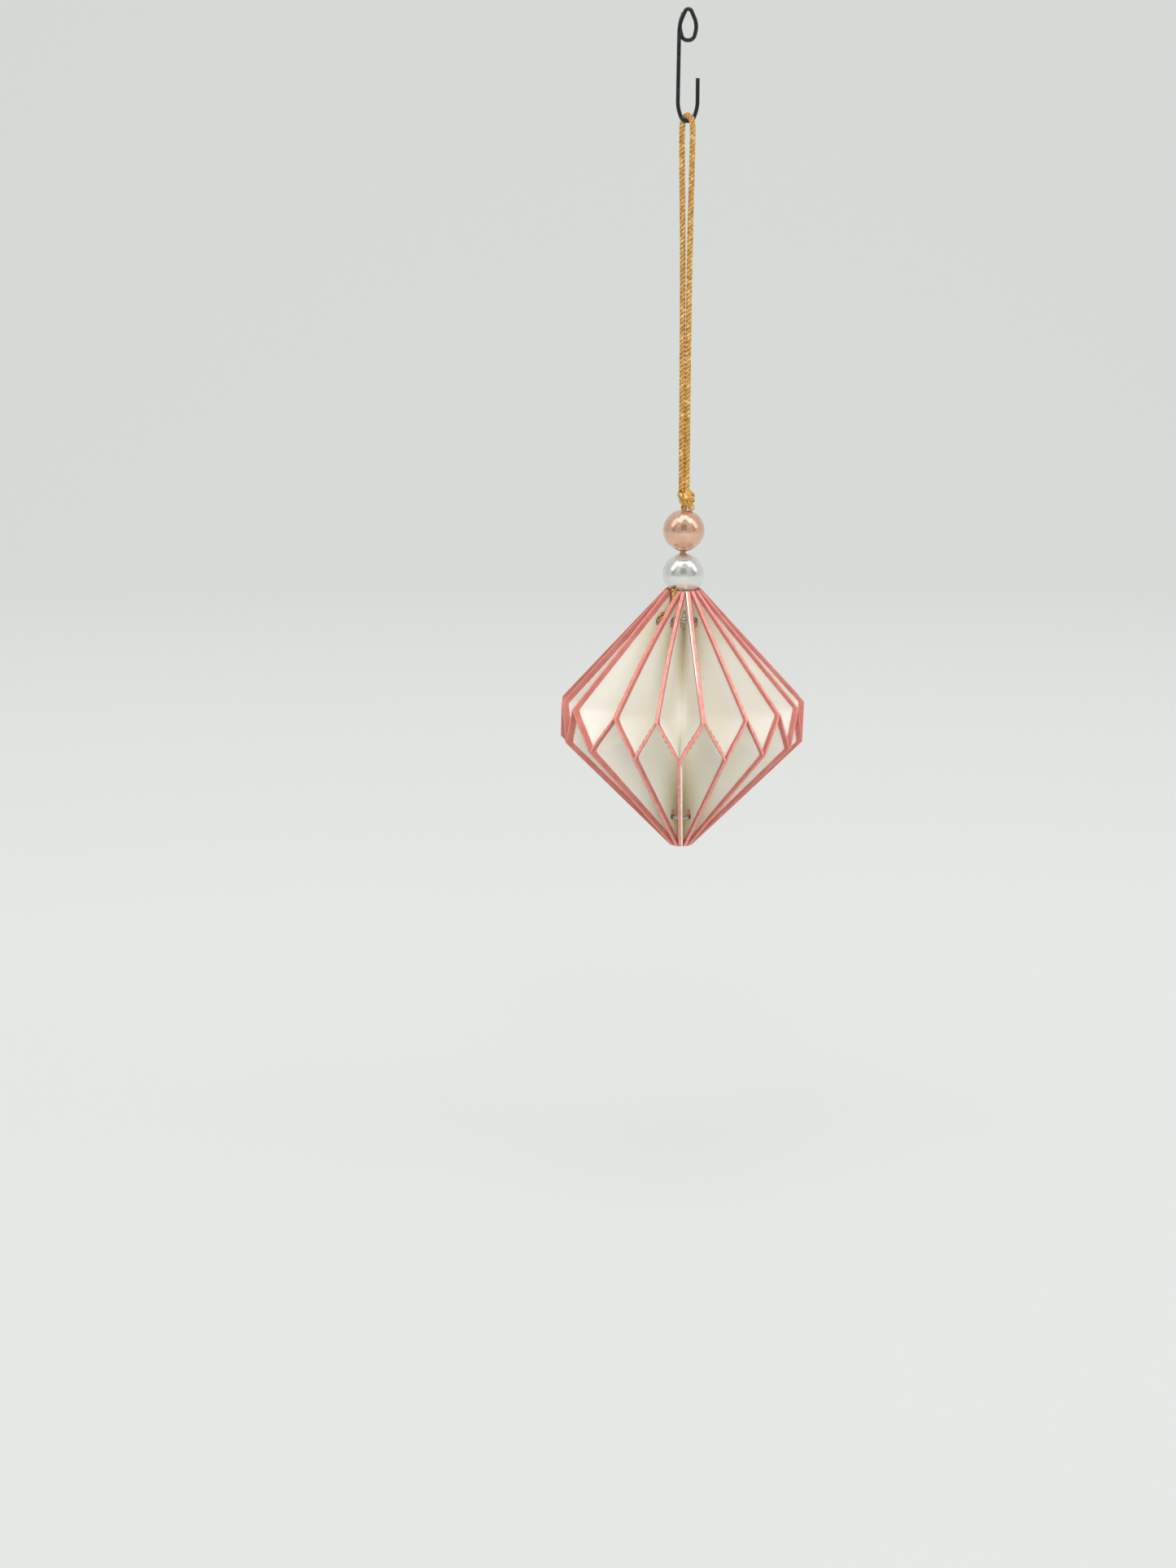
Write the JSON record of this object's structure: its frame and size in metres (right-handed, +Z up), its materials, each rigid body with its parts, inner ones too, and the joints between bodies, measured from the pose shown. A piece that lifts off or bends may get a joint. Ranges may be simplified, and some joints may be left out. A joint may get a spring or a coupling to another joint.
{
  "type": "honeycomb paper ornament",
  "caption": "Faceted diamond-shaped honeycomb ornament of glued paper cards with wire rings, pearl beads, a cord loop and a wire hook to hang it by.",
  "frame": {"origin": "the point inside the hook's eye that bears on the nail or twig it hangs from", "axes": "+Z up along the hanging line, -Y towards the viewer of the picture, +X to the viewer's right"},
  "size_m": [0.0703, 0.0704, 0.2346],
  "materials": {
    "card": "matte card with a printed pink border",
    "steel_wire": "bright drawn wire",
    "white_pearl": "pearl lacquer",
    "peach_pearl": "pearl lacquer",
    "gold_cord": "twisted satin cord",
    "black_wire": "black coated wire"
  },
  "bodies": {
    "root": {"paper_card_01": "card", "paper_card_02": "card", "paper_card_03": "card", "paper_card_04": "card", "paper_card_05": "card", "paper_card_06": "card", "paper_card_07": "card", "paper_card_08": "card", "paper_card_09": "card", "paper_card_10": "card", "paper_card_11": "card", "paper_card_12": "card", "paper_card_13": "card", "paper_card_14": "card", "paper_card_15": "card", "paper_card_16": "card", "paper_card_17": "card", "paper_card_18": "card", "paper_card_19": "card", "paper_card_20": "card", "paper_card_21": "card", "paper_card_22": "card", "paper_card_23": "card", "paper_card_24": "card", "paper_card_25": "card", "paper_card_26": "card", "paper_card_27": "card", "paper_card_28": "card", "paper_card_29": "card", "paper_card_30": "card", "paper_card_31": "card", "paper_card_32": "card", "paper_card_33": "card", "paper_card_34": "card", "paper_card_35": "card", "paper_card_36": "card", "paper_card_37": "card", "top_ring": "steel_wire", "bottom_ring": "steel_wire", "white_pearl_bead": "white_pearl", "peach_pearl_bead": "peach_pearl", "cord_loop": "gold_cord", "cord_knot": "gold_cord", "cord_stem": "gold_cord", "ring_tie": "gold_cord", "wire_hook": "black_wire"}
  },
  "joints": []
}
